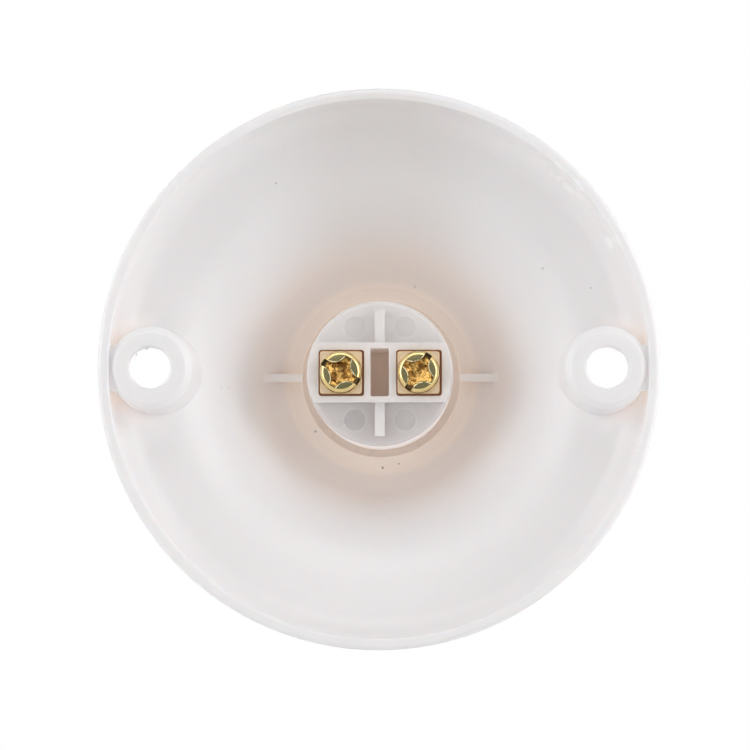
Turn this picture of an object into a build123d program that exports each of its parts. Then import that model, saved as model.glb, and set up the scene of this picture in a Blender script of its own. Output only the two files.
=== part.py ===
from build123d import *
import os

# Wall lamp holder for a lamp with a screw cap
#
# A round bell-shaped base is screwed to the wall over its wires. Its neck holds
# a moulded insert with two screw terminals on the wall side, and a rolled
# thread shell and a centre contact on the lamp side.
#
# The origin is the centre of the wall plane and the lamp axis is Y. The wall
# is on the +Y side, the lamp enters from -Y, and +Z is up. A depth is measured
# from the wall plane into the room, so depth d lies at y = -d. Millimetres.

# Bell and neck of the base
rim_r = 45.0
wall = 1.8
rim_edge_chamfer = 0.4
skirt_depth = 8.0
skirt_round = 5.0
crease_r = 29.5
crease_depth = 12.5
crease_round = 14.0
throat_r = 19.7
throat_depth = 27.5
throat_round = 4.0
neck_bore_r = 15.1
neck_corner_round = 1.0
mouth_depth = 54.0
mouth_r = 15.5
mouth_length = 4.5
seam_angle = 20.0
lip_chamfer = 0.3

# Ledge inside the neck, with two gussets over it
ledge_r = 13.35
ledge_depth = 30.0
ledge_thickness = 2.0
gusset_thickness = 1.3
gusset_depth = 27.7

# Bosses for the two wall screws
boss_spacing = 73.0
boss_r = 6.65
boss_draft = 3.0
boss_end_chamfer = 0.8
wall_screw_hole_r = 3.25
wall_screw_seat = 2.5
wall_screw_recess_r = 5.1

# Key and snap lugs that hold the insert in the neck
key_width = 2.0
key_height = 1.2
key_length = 4.0
lug_count = 4
lug_arc = 22.0
lug_height = 0.55
lug_length = 1.8

# Moulded insert
block_r = 12.1
block_depth = 16.0
block_edge_chamfer = 0.4
flange_thickness = 2.0
flange_clearance = 0.25
band_height = 9.8
band_depth = 12.5
rib_thickness = 1.6
rib_height = 20.8
rib_depth = 14.2
slot_width = 3.05
slot_height = 7.9
slot_bottom_depth = 25.0
ejector_r = 1.7
ejector_x = 4.15
ejector_z = 7.7
ejector_sink = 0.15
snap_play = 0.1

# Terminals: tapped pads in pockets, square clamps and slotted cross-recess screws
terminal_spacing = 12.75
pocket_width = 7.3
pocket_height = 7.4
pocket_corner_round = 0.5
pocket_floor_depth = 15.3
well_clearance = 0.6
well_bottom_depth = 24.0
clamp_width = 7.0
clamp_height = 7.1
clamp_thickness = 0.9
clamp_corner_round = 0.5
clamp_edge_chamfer = 0.15
clamp_hole_clearance = 0.2
wire_gap = 0.7
screw_r = 1.7
screw_length = 9.0
screw_head_r = 3.5
screw_head_height = 2.2
screw_head_bevel = 0.7
screw_head_edge = 0.2
screw_tip_chamfer = 0.5
screw_slot_width = 1.2
screw_slot_sink = 0.9
recess_span = 5.2
recess_width = 1.6
recess_sink = 1.7
recess_taper = 16.0
left_screw_angle = 29.5
right_screw_angle = -58.7
thread_clearance = 0.05

# Contact strips
strip = 0.7
strip_width = 5.0
pad_margin = 0.15
slit_clearance = 0.05
leg_inset = 0.55
leaf_root_x = 5.2
leaf_tip_x = -0.6
leaf_rise = 2.6
leaf_end_x = -2.4
leaf_end_drop = 0.8

# Rolled thread shell for the screw cap
thread_pitch = 3.629
thread_major_r = 13.23
thread_minor_r = 12.13
thread_turns = 4
shell_sheet = 0.4
shell_lip_r = 11.8
shell_foot_chamfer = 0.3
ear_r = 2.3

# Rivets that hold the thread shell to the insert
rivet_count = 3
rivet_circle_r = 9.2
rivet_start_angle = 60.0
rivet_r = 1.2
rivet_length = 4.0
rivet_head_r = 2.0
rivet_head_height = 0.6
rivet_clearance = 0.05

# Depths and places that follow from the sizes above
seat_depth = ledge_depth + ledge_thickness
front_depth = seat_depth + flange_thickness
pad_depth = pocket_floor_depth - strip
clamp_depth = pad_depth - wire_gap - clamp_thickness
terminal_x = terminal_spacing / 2
boss_x = boss_spacing / 2
pad_half = pocket_width / 2 - pad_margin
leg_offset = pad_half - leg_inset
shell_front_depth = front_depth + shell_sheet
ear_hole_r = rivet_r + rivet_clearance


def at_depth(depth):
    """Plane facing into the room at a depth, with x to the right of +Y's back and y up."""
    return Plane.XZ.offset(depth)


def section_plane():
    """Plane of the base's half sections, turned so that no seam meets a boss, gusset, key or lug."""
    return Plane.XY.rotated((0, seam_angle, 0))


def ring_section(inner_r, outer_r, near_depth, far_depth):
    """Half section of a ring round the lamp axis."""
    with Locations(((inner_r + outer_r) / 2, -(near_depth + far_depth) / 2)):
        Rectangle(outer_r - inner_r, far_depth - near_depth)


def rivet_places():
    """Places of the rivets on the insert's front face."""
    return PolarLocations(rivet_circle_r, rivet_count, start_angle=rivet_start_angle)


# Inner outline of the bell and neck, from the wall plane to the mouth
with BuildLine(Plane.XY) as bell_inside:
    FilletPolyline(
        (rim_r - wall, 0),
        (rim_r - wall, -skirt_depth),
        (crease_r, -crease_depth),
        (throat_r, -throat_depth),
        (neck_bore_r, -ledge_depth),
        (neck_bore_r, -mouth_depth),
        radius=[skirt_round, crease_round, throat_round, neck_corner_round],
    )

# Section of the wall, and of everything inside the bell's outer skin
with BuildSketch(Plane.XY) as wall_section:
    with BuildLine(Plane.XY):
        add(bell_inside.line)
        offset(amount=wall, side=Side.LEFT, closed=True)
    make_face()
with BuildSketch(Plane.XY) as bell_envelope:
    with BuildLine(Plane.XY):
        add(bell_inside.line)
        Polyline((neck_bore_r, -mouth_depth), (0, -mouth_depth), (0, 0), (rim_r - wall, 0))
    make_face()
    add(wall_section.sketch)

# Base: one moulding with rim, bell, neck, ledge, gussets and bosses
with BuildPart() as base_shell:
    with BuildSketch(Plane.XZ):
        with Locations((boss_x, 0), (-boss_x, 0)):
            Circle(boss_r)
    extrude(amount=crease_depth, taper=-boss_draft)
    chamfer(base_shell.edges().group_by(Axis.Y)[-1], boss_end_chamfer)
    with BuildSketch(Plane.XY):
        for side in (1, -1):
            with Locations((side * (ledge_r + throat_r + wall) / 2, -(gusset_depth + seat_depth) / 2)):
                Rectangle(throat_r + wall - ledge_r, seat_depth - gusset_depth)
    extrude(amount=gusset_thickness / 2, both=True)
    with BuildSketch(section_plane()):
        add(bell_envelope.sketch)
    revolve(axis=Axis.Y, mode=Mode.INTERSECT)
    # The wall of bell and neck, and the ledge
    with BuildSketch(section_plane()):
        add(wall_section.sketch)
        ring_section(ledge_r, neck_bore_r + wall / 2, ledge_depth, seat_depth)
    revolve(axis=Axis.Y)
    # Wider mouth for the lamp's neck
    with BuildSketch(section_plane()):
        ring_section(0, mouth_r, mouth_depth - mouth_length, mouth_depth)
    revolve(axis=Axis.Y, mode=Mode.SUBTRACT)
    chamfer(base_shell.edges().group_by(Axis.Y)[0], lip_chamfer)
    rim_edges = base_shell.edges().filter_by(GeomType.CIRCLE).group_by(Axis.Y)[-1]
    chamfer(rim_edges.sort_by(SortBy.RADIUS)[-1], rim_edge_chamfer)
    # Recesses for the wall screws' heads, and their holes
    with BuildSketch(at_depth(wall_screw_seat)):
        with Locations((boss_x, 0), (-boss_x, 0)):
            Circle(wall_screw_recess_r)
    extrude(amount=crease_depth + wall, mode=Mode.SUBTRACT)
    with BuildSketch(Plane.XZ):
        with Locations((boss_x, 0), (-boss_x, 0)):
            Circle(wall_screw_hole_r)
    extrude(amount=wall_screw_seat, mode=Mode.SUBTRACT)
    # Key rib that stops the insert from turning
    with BuildSketch(at_depth(seat_depth)):
        with Locations((0, neck_bore_r - key_height / 2 + wall / 4)):
            Rectangle(key_width, key_height + wall / 2)
    extrude(amount=key_length)
    # Snap lugs that the insert's flange clicks past
    lug_near = front_depth + snap_play
    for lug in range(lug_count):
        lug_angle = (lug + 0.5) * 360 / lug_count - lug_arc / 2
        with BuildSketch(Plane.XY.rotated((0, lug_angle, 0))):
            Polygon(
                (neck_bore_r + wall / 4, -lug_near),
                (neck_bore_r - lug_height, -lug_near),
                (neck_bore_r - lug_height, -lug_near - lug_length / 3),
                (neck_bore_r + wall / 4, -lug_near - lug_length),
                align=None,
            )
        revolve(axis=Axis.Y, revolution_arc=lug_arc)

# Insert: one moulding that carries the contacts and the thread shell
with BuildPart() as socket_insert:
    with BuildSketch(at_depth(block_depth)):
        Circle(block_r)
    extrude(amount=front_depth - block_depth)
    chamfer(socket_insert.edges().group_by(Axis.Y)[-1], block_edge_chamfer)
    with BuildSketch(at_depth(seat_depth)):
        Circle(neck_bore_r - flange_clearance)
        with Locations((0, neck_bore_r)):
            Rectangle(
                key_width + 2 * flange_clearance,
                2 * (key_height + flange_clearance),
                mode=Mode.SUBTRACT,
            )
    extrude(amount=flange_thickness)
    # Raised band round the terminals, and the upright rib
    with BuildSketch(at_depth(band_depth)):
        Circle(block_r - block_edge_chamfer / 2)
        Rectangle(2 * block_r, band_height, mode=Mode.INTERSECT)
    extrude(amount=block_depth + block_edge_chamfer - band_depth)
    with BuildSketch(at_depth(rib_depth)):
        Rectangle(rib_thickness, rib_height)
    extrude(amount=block_depth + block_edge_chamfer - rib_depth)
    # Terminal pockets, screw wells and the slot between them
    with BuildSketch(at_depth(band_depth)):
        with Locations((terminal_x, 0), (-terminal_x, 0)):
            RectangleRounded(pocket_width, pocket_height, pocket_corner_round)
    extrude(amount=pocket_floor_depth - band_depth, mode=Mode.SUBTRACT)
    with BuildSketch(at_depth(pocket_floor_depth)):
        with Locations((terminal_x, 0), (-terminal_x, 0)):
            Circle(screw_r + well_clearance)
    extrude(amount=well_bottom_depth - pocket_floor_depth, mode=Mode.SUBTRACT)
    with BuildSketch(at_depth(band_depth)):
        Rectangle(slot_width, slot_height)
    extrude(amount=slot_bottom_depth - band_depth, mode=Mode.SUBTRACT)
    # Slits for the legs of the contact strips
    with BuildSketch(at_depth(pocket_floor_depth)):
        with Locations((terminal_x + leg_offset, 0), (-terminal_x + leg_offset, 0)):
            Rectangle(strip + 2 * slit_clearance, strip_width + 2 * slit_clearance)
    extrude(amount=front_depth - pocket_floor_depth, mode=Mode.SUBTRACT)
    # Holes for the rivets
    with BuildSketch(at_depth(front_depth)):
        with rivet_places():
            Circle(ear_hole_r)
    extrude(amount=-(rivet_length + rivet_clearance), mode=Mode.SUBTRACT)
    # Recess for the side contact's tab
    tab_end_x = rivet_circle_r + ear_r
    with BuildSketch(at_depth(front_depth)):
        with Locations((-(tab_end_x + terminal_x - leg_offset) / 2, 0)):
            Rectangle(
                tab_end_x - terminal_x + leg_offset + strip + 2 * slit_clearance,
                strip_width + 2 * slit_clearance,
            )
    extrude(amount=-strip, mode=Mode.SUBTRACT)
    # Round marks of the ejector pins
    with BuildSketch(at_depth(block_depth)):
        with GridLocations(2 * ejector_x, 2 * ejector_z, 2, 2):
            Circle(ejector_r)
    extrude(amount=ejector_sink, mode=Mode.SUBTRACT)

# Centre contact: a strip from the left terminal to a springy leaf under the lamp
with BuildPart() as centre_contact:
    leg_x = terminal_x + leg_offset
    front_mid = front_depth + strip / 2
    with BuildSketch(Plane.XY):
        with BuildLine(Plane.XY) as strip_path:
            FilletPolyline(
                (terminal_x - pad_half, -(pad_depth + strip / 2)),
                (leg_x, -(pad_depth + strip / 2)),
                (leg_x, -front_mid),
                (leaf_root_x, -front_mid),
                (leaf_tip_x, -(front_mid + leaf_rise)),
                (leaf_end_x, -(front_mid + leaf_rise - leaf_end_drop)),
                radius=[0.52 * strip, 0.52 * strip, 4 * strip, strip],
            )
        trace(line_width=strip)
    extrude(amount=strip_width / 2, both=True)
    with BuildSketch(at_depth(pad_depth)):
        with Locations((terminal_x - leg_inset / 2, 0)):
            Rectangle(2 * pad_half - leg_inset, pocket_height - 2 * pad_margin)
    extrude(amount=strip)
    with Locations(at_depth(pad_depth) * Location((terminal_x, 0, 0))):
        Hole(screw_r + thread_clearance, depth=strip)

# Side contact: a strip from the right terminal to a tab under the thread shell
with BuildPart() as side_contact:
    leg_x = -terminal_x + leg_offset
    tab_mid = front_depth - strip / 2
    with BuildSketch(Plane.XY):
        with BuildLine(Plane.XY) as strip_path:
            FilletPolyline(
                (-terminal_x - pad_half, -(pad_depth + strip / 2)),
                (leg_x, -(pad_depth + strip / 2)),
                (leg_x, -tab_mid),
                (-(rivet_circle_r + ear_r), -tab_mid),
                radius=0.52 * strip,
            )
        trace(line_width=strip)
    extrude(amount=strip_width / 2, both=True)
    with BuildSketch(at_depth(pad_depth)):
        with Locations((-terminal_x - leg_inset / 2, 0)):
            Rectangle(2 * pad_half - leg_inset, pocket_height - 2 * pad_margin)
    extrude(amount=strip)
    with Locations(at_depth(pad_depth) * Location((-terminal_x, 0, 0))):
        Hole(screw_r + thread_clearance, depth=strip)
    with BuildSketch(at_depth(front_depth)):
        with Locations((-rivet_circle_r, 0)):
            Circle(ear_hole_r)
    extrude(amount=-strip, mode=Mode.SUBTRACT)

# Thread shell: a drawn tube with a turned-in foot and three ears. The tube has
# the mean radius of the thread that is rolled into its wall.
thread_mean_r = (thread_major_r + thread_minor_r) / 2
thread_length = thread_turns * thread_pitch
with BuildPart() as thread_shell:
    with BuildSketch(at_depth(front_depth)):
        Circle(thread_mean_r + shell_sheet)
        Circle(shell_lip_r, mode=Mode.SUBTRACT)
        with PolarLocations((rivet_circle_r + thread_minor_r) / 2, rivet_count, start_angle=rivet_start_angle):
            Rectangle(thread_minor_r - rivet_circle_r, 2 * ear_r)
        with rivet_places():
            Circle(ear_r)
            Circle(ear_hole_r, mode=Mode.SUBTRACT)
    extrude(amount=shell_sheet)
    foot_edges = thread_shell.edges().filter_by(GeomType.CIRCLE).group_by(Axis.Y)[-1]
    chamfer(foot_edges.sort_by(SortBy.RADIUS)[-1], shell_foot_chamfer)
    with BuildSketch(at_depth(front_depth + shell_foot_chamfer)):
        Circle(thread_mean_r + shell_sheet)
        Circle(thread_mean_r, mode=Mode.SUBTRACT)
    extrude(amount=thread_length - shell_foot_chamfer)


def make_rivet(angle):
    """Drive rivet on the rivet circle at an angle from +X."""
    place = Location((0, 0, 0), (0, -angle, 0)) * Location((rivet_circle_r, 0, 0))
    with BuildPart() as rivet:
        with BuildSketch(Plane.XY):
            with BuildLine(Plane.XY):
                dome = TangentArc(
                    (0, -(shell_front_depth + rivet_head_height)),
                    (rivet_head_r, -(shell_front_depth + rivet_head_height / 3)),
                    tangent=(1, 0),
                )
                Polyline(
                    dome @ 1,
                    (rivet_head_r, -shell_front_depth),
                    (rivet_r, -shell_front_depth),
                    (rivet_r, -(shell_front_depth - rivet_length)),
                    (0, -(shell_front_depth - rivet_length)),
                    dome @ 0,
                )
            make_face()
        revolve(axis=Axis.Y)
    return place * rivet.part


def make_clamp(centre_x):
    """Square clamp washer, held under a terminal screw's head."""
    with BuildPart() as clamp:
        with BuildSketch(at_depth(clamp_depth)):
            with Locations((centre_x, 0)):
                RectangleRounded(clamp_width, clamp_height, clamp_corner_round)
        extrude(amount=clamp_thickness)
        chamfer(clamp.edges().group_by(Axis.Y)[-1], clamp_edge_chamfer)
        with BuildSketch(at_depth(clamp_depth)):
            with Locations((centre_x, 0)):
                Circle(screw_r + clamp_hole_clearance)
        extrude(amount=clamp_thickness, mode=Mode.SUBTRACT)
    return clamp.part


def make_screw(centre_x, angle):
    """Pan-head terminal screw with a slotted cross recess turned to an angle."""
    crown = clamp_depth - screw_head_height
    with BuildPart() as screw:
        with BuildSketch(at_depth(crown)):
            Circle(screw_head_r)
        extrude(amount=screw_head_height)
        chamfer(screw.edges().group_by(Axis.Y)[-1], screw_head_bevel)
        chamfer(screw.edges().group_by(Axis.Y)[0], screw_head_edge)
        with BuildSketch(at_depth(clamp_depth)):
            Circle(screw_r)
        extrude(amount=screw_length)
        chamfer(screw.edges().group_by(Axis.Y)[0], screw_tip_chamfer)
        with BuildSketch(at_depth(crown)):
            Rectangle(recess_span, recess_width)
            Rectangle(recess_width, recess_span)
        extrude(amount=recess_sink, taper=recess_taper, mode=Mode.SUBTRACT)
        with BuildSketch(at_depth(crown)):
            Rectangle(3 * screw_head_r, screw_slot_width)
        extrude(amount=screw_slot_sink, mode=Mode.SUBTRACT)
    return Location((centre_x, 0, 0), (0, -angle, 0)) * screw.part


parts = {
    "base_shell": base_shell.part,
    "socket_insert": socket_insert.part,
    "thread_shell": thread_shell.part,
    "centre_contact": centre_contact.part,
    "side_contact": side_contact.part,
    "left_clamp": make_clamp(terminal_x),
    "right_clamp": make_clamp(-terminal_x),
    "left_screw": make_screw(terminal_x, left_screw_angle),
    "right_screw": make_screw(-terminal_x, right_screw_angle),
}
for rivet_index in range(rivet_count):
    rivet_angle = rivet_start_angle + rivet_index * 360 / rivet_count
    parts[f"shell_rivet_{rivet_index + 1}"] = make_rivet(rivet_angle)

os.makedirs("parts", exist_ok=True)
for name, part in parts.items():
    part.label = name
    export_step(part, f"parts/{name}.step")
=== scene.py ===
# %% [markdown]
# # Wall lamp holder, seen from its wall side
#
# The real object is a white polypropylene bell that is screwed to a wall. A
# milky insert with two brass screw terminals sits in its neck, and a rolled
# brass thread shell waits on the other side for a lamp. The construction is
# already made and packed, in metres, so this lesson only dresses it: it makes
# finer meshes of the same sizes, gives each surface its finish, and sets up
# the light and the camera of the photograph.

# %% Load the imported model
import math

import bmesh
import bpy
from mathutils import Matrix, Vector


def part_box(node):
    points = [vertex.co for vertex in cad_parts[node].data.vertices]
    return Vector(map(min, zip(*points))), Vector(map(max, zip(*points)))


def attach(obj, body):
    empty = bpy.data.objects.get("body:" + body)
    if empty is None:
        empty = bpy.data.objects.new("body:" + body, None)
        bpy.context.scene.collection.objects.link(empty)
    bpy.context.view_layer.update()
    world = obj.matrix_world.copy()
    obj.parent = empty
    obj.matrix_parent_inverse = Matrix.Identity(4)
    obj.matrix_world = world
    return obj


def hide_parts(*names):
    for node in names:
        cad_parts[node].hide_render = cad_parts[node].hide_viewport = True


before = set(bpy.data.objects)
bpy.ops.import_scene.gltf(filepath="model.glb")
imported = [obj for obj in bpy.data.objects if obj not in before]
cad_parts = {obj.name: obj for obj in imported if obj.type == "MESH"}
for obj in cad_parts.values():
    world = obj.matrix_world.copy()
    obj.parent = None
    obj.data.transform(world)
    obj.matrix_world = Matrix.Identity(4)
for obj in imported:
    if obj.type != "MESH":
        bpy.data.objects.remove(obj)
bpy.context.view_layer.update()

mm = 0.001
print("nodes", sorted(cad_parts))

# %% [markdown]
# ## Sizes
#
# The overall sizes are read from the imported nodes, so that a finer mesh can't
# drift away from the solid that it stands for. The roundings and small steps
# are repeated here as named values in millimetres. A depth is measured from
# the wall plane into the room, so a depth d lies at y = -d.

# %% Sizes of the base
base_low, base_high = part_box("base_shell")
rim_r = base_high.x / mm
mouth_depth = -base_low.y / mm
wall = 1.8
rim_edge_round = 0.8
rim_lip_round = 0.25
skirt_depth, skirt_round = 8.0, 5.0
crease_r, crease_depth, crease_round = 29.5, 12.5, 14.0
throat_r, throat_depth, throat_round = 19.7, 27.5, 4.0
neck_bore_r = 15.1
mouth_r, mouth_length, lip_round = 15.5, 4.5, 0.6
ledge_r, ledge_depth, ledge_thickness = 13.35, 30.0, 2.0
gusset_thickness, gusset_depth = 1.3, 27.7
boss_x, boss_r, boss_foot_r, boss_end_chamfer = 36.5, 6.65, 7.3, 1.0
boss_cut_depth = 14.0
boss_root_size, boss_root_depth, boss_root_overlap = (2.6, 7.315), 0.6, 0.8
key_size, key_length, key_overlap = (2.0, 1.65), 4.5, 0.375
wall_screw_hole_r, wall_screw_seat, wall_screw_recess_r = 3.25, 2.5, 5.1
wall_screw_hole_flare, wall_screw_cut_depth = 0.35, 20.0
print("rim radius", round(rim_r, 3), "mouth depth", round(mouth_depth, 3))

# %% [markdown]
# ## Turned pieces
#
# Most of this object is round, so most of it can be turned, as on a lathe. An
# outline is a short chain of corners, each with its rounding. Bevelling a
# vertex of the chain makes the rounding, and spinning the chain about the lamp
# axis makes the body. A rounding of radius R needs the bevel to start
# R * tan(turn / 2) away from the corner.

# %% Helpers for turned and cut pieces
degrees_per_segment = 7


def new_piece(name, bm):
    """Turns a bmesh into an object with its faces outwards."""
    bmesh.ops.remove_doubles(bm, verts=bm.verts, dist=1e-7)
    bmesh.ops.recalc_face_normals(bm, faces=bm.faces)
    mesh = bpy.data.meshes.new(name)
    bm.to_mesh(mesh)
    bm.free()
    piece = bpy.data.objects.new(name, mesh)
    bpy.context.scene.collection.objects.link(piece)
    return piece


def rounded_chain(bm, corners, closed):
    """Draws a chain of (r, depth, rounding) corners in millimetres and rounds them."""
    spots = [Vector((r * mm, -depth * mm, 0)) for r, depth, _ in corners]
    verts = [bm.verts.new(spot) for spot in spots]
    pairs = list(zip(verts, verts[1:] + verts[:1]))
    for a, b in pairs if closed else pairs[:-1]:
        bm.edges.new((a, b))
    for place, (vert, corner) in enumerate(zip(verts, corners)):
        rounding = corner[2] * mm
        if rounding == 0:
            continue
        before = spots[place] - spots[place - 1]
        after = spots[(place + 1) % len(spots)] - spots[place]
        turn = before.angle(after)
        bmesh.ops.bevel(
            bm, geom=[vert], offset=rounding * math.tan(turn / 2), offset_type="OFFSET",
            segments=max(2, round(math.degrees(turn) / degrees_per_segment)),
            profile=0.5, affect="VERTICES", material=-1,
        )


def turned(name, corners, steps=96, closed=False, centre_x=0.0, centre_z=0.0):
    """A piece turned about an axis along Y from an outline of rounded corners."""
    bm = bmesh.new()
    rounded_chain(bm, corners, closed)
    bmesh.ops.spin(
        bm, geom=bm.verts[:] + bm.edges[:], cent=(0, 0, 0), axis=(0, 1, 0), dvec=(0, 0, 0),
        angle=math.tau, steps=steps, use_merge=True, use_duplicate=False,
    )
    bmesh.ops.translate(bm, verts=bm.verts, vec=(centre_x * mm, 0, centre_z * mm))
    return new_piece(name, bm)


def slab(name, size, near, far, corner=0.0, centre=(0.0, 0.0), angle=0.0):
    """A block of a width and height between two depths, with rounded upright edges."""
    bm = bmesh.new()
    bmesh.ops.create_cube(bm, size=1.0)
    bmesh.ops.scale(bm, verts=bm.verts, vec=(size[0] * mm, (far - near) * mm, size[1] * mm))
    if corner:
        along = [e for e in bm.edges if abs(e.verts[0].co.y - e.verts[1].co.y) > 1e-6]
        bmesh.ops.bevel(
            bm, geom=along, offset=corner * mm, offset_type="OFFSET",
            segments=6, profile=0.5, affect="EDGES", material=-1,
        )
    bmesh.ops.translate(bm, verts=bm.verts, vec=(0, -(near + far) / 2 * mm, 0))
    turn = Matrix.Rotation(math.radians(-angle), 3, "Y")
    bmesh.ops.rotate(bm, verts=bm.verts, cent=(0, 0, 0), matrix=turn)
    bmesh.ops.translate(bm, verts=bm.verts, vec=(centre[0] * mm, 0, centre[1] * mm))
    return new_piece(name, bm)


def combine(piece, operation, *tools):
    """Adds, cuts or intersects other pieces with this one, and uses them up."""
    for tool in tools:
        boolean = piece.modifiers.new("cut", "BOOLEAN")
        boolean.operation = operation
        boolean.object = tool
        boolean.solver = "EXACT"
        bpy.context.view_layer.update()
        evaluated = piece.evaluated_get(bpy.context.evaluated_depsgraph_get())
        made = bpy.data.meshes.new_from_object(evaluated)
        piece.modifiers.clear()
        old, piece.data = piece.data, made
        made.name = piece.name
        bpy.data.meshes.remove(old)
        bpy.data.objects.remove(tool)
    return piece


def finish_edges(piece, width, angle=32.0, segments=2):
    """Softens the crisp edges that cutting leaves and shades the rest smooth."""
    bevel = piece.modifiers.new("edge rounding", "BEVEL")
    bevel.width = width * mm
    bevel.segments = segments
    bevel.limit_method = "ANGLE"
    bevel.angle_limit = math.radians(angle)
    bevel.harden_normals = True
    bevel.miter_outer = "MITER_ARC"
    piece.data.shade_smooth()
    return piece


def shade_by_angle(piece, angle=32.0):
    """Shades smooth, apart from edges that turn more than an angle."""
    piece.data.shade_smooth()
    piece.data.set_sharp_from_angle(angle=math.radians(angle))
    return piece


def keep(piece, body, slot, *nodes):
    """Rides a finished piece on its body and lets it stand for its nodes."""
    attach(piece, body)
    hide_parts(*nodes)
    print(piece.name, "faces", len(piece.data.polygons), "stands for", nodes)
    return piece


# %% [markdown]
# ## The base
#
# The bell is one moulding with an even wall, so its outer outline is the inner
# one moved outwards by the wall. Each corner of the outer outline is where two
# moved lines meet, and its rounding is the inner one plus or minus the wall.

# %% Outline of the bell
def moved_corner(before, corner, after, distance):
    """Where the two lines through a corner meet once both have moved sideways."""
    sides = []
    for start, end in ((before, corner), (corner, after)):
        along = (Vector(end[:2]) - Vector(start[:2])).normalized()
        sides.append((Vector(start[:2]) + Vector((-along.y, along.x)) * -distance, along))
    (p, u), (q, v) = sides
    reach = (q - p).cross(v) / u.cross(v)
    return p + u * reach


inside = [
    (rim_r - wall, 0.0, rim_lip_round),
    (rim_r - wall, skirt_depth, skirt_round),
    (crease_r, crease_depth, crease_round),
    (throat_r, throat_depth, throat_round),
    (neck_bore_r, ledge_depth, 0.0),
    (neck_bore_r, mouth_depth, 0.0),
]
outer_rounds = (skirt_round + wall, crease_round - wall, throat_round + wall, 1.2)
outside = [(rim_r, 0.0, rim_edge_round)]
for place, outer_round in enumerate(outer_rounds, start=1):
    spot = moved_corner(*inside[place - 1:place + 2], wall)
    outside.append((spot.x, spot.y, outer_round))
outside.append((neck_bore_r + wall, mouth_depth, lip_round))
seat_depth = ledge_depth + ledge_thickness
neck_inside = [
    (mouth_r, mouth_depth, lip_round),
    (mouth_r, mouth_depth - mouth_length, 0.15),
    (neck_bore_r, mouth_depth - mouth_length, 0.1),
    (neck_bore_r, seat_depth, 0.15),
    (ledge_r, seat_depth, 0.2),
    (ledge_r, ledge_depth, 0.35),
    (neck_bore_r + 0.4, ledge_depth, 0.3),
]
bell_outline = outside + neck_inside + inside[3:0:-1] + inside[:1]
print("outer corners", [tuple(round(v, 2) for v in corner) for corner in outside])

# %% Bell, neck and ledge in one turning
base = turned("base_shell_moulding", bell_outline, steps=180, closed=True)
print("bell", len(base.data.polygons), "faces")

# %% [markdown]
# Bosses and gussets stand inside the bell, and a narrow root closes the chink
# between each boss and the skirt. Each is made too deep, then cut to a body
# that ends in the middle of the wall, so that it joins the bell all round
# without showing on the outside. A small key in the neck keeps the insert from
# turning.

# %% Bosses, gussets and the key
envelope_rounds = (skirt_round, crease_round, throat_round, 1.0)
envelope_outline = [(0.0, -1.0, 0.0), (rim_r - wall / 2, -1.0, 0.0)]
for place, middle_round in enumerate(envelope_rounds, start=1):
    spot = moved_corner(*inside[place - 1:place + 2], wall / 2)
    envelope_outline.append((spot.x, spot.y, middle_round))
envelope_outline += [(neck_bore_r + wall / 2, mouth_depth, 0.0), (0.0, mouth_depth, 0.0)]
boss_outline = [
    (0.0, 0.0, 0.0), (boss_r - boss_end_chamfer, 0.0, 0.3), (boss_r, boss_end_chamfer, 0.5),
    (boss_foot_r, boss_cut_depth, 0.0), (0.0, boss_cut_depth, 0.0),
]
gusset_reach = throat_r + wall - ledge_r
for side in (1, -1):
    boss = turned("boss", boss_outline, steps=96, centre_x=side * boss_x)
    gusset = slab(
        "gusset", (gusset_reach, gusset_thickness), gusset_depth, seat_depth - 0.4,
        centre=(side * (ledge_r + gusset_reach / 2), 0.0),
    )
    root = slab(
        "root", boss_root_size, boss_root_depth, boss_cut_depth,
        centre=(side * (rim_r - wall - boss_root_size[0] / 2 + boss_root_overlap), 0.0),
    )
    for stand in (boss, gusset, root):
        combine(stand, "INTERSECT", turned("envelope", envelope_outline, steps=180))
    combine(base, "UNION", boss, gusset, root)
key_start = seat_depth - 0.5
key = slab("key", key_size, key_start, key_start + key_length, centre=(0.0, neck_bore_r - key_overlap))
combine(base, "UNION", key)
print("base with its bosses", len(base.data.polygons), "faces")

# %% [markdown]
# Four low ridges stand in the neck. The insert's flange clicks past them and
# is then held between them and the ledge.


# %% Snap lugs
def make_lug(angle):
    """A wedge-shaped ridge inside the neck, spun over a short arc."""
    bm = bmesh.new()
    corners = (
        (neck_bore_r + wall / 4, lug_depth), (neck_bore_r - lug_height, lug_depth),
        (neck_bore_r - lug_height, lug_depth + lug_length / 3),
        (neck_bore_r + wall / 4, lug_depth + lug_length),
    )
    verts = [bm.verts.new((r * mm, -depth * mm, 0)) for r, depth in corners]
    bm.faces.new(verts)
    start = Matrix.Rotation(math.radians(-angle + lug_arc / 2), 3, "Y")
    bmesh.ops.rotate(bm, verts=bm.verts, cent=(0, 0, 0), matrix=start)
    bmesh.ops.spin(
        bm, geom=bm.faces[:], cent=(0, 0, 0), axis=(0, 1, 0), dvec=(0, 0, 0),
        angle=math.radians(-lug_arc), steps=10, use_merge=False, use_duplicate=False,
    )
    return new_piece("lug", bm)


lug_arc, lug_height, lug_length, lug_depth = 22.0, 0.55, 1.8, 34.1
combine(base, "UNION", *[make_lug(45 + 90 * lug) for lug in range(4)])
print("with its snap lugs", len(base.data.polygons), "faces")

# %% [markdown]
# A wall screw goes in from the room's side. Its head sinks through the bell
# into the boss and rests on a seat, so each boss has a wide bore from the far
# side and a narrow hole with a small flare at the wall. Two turned cutters
# make them, because a turned cutter can have the flare in its outline.

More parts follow.
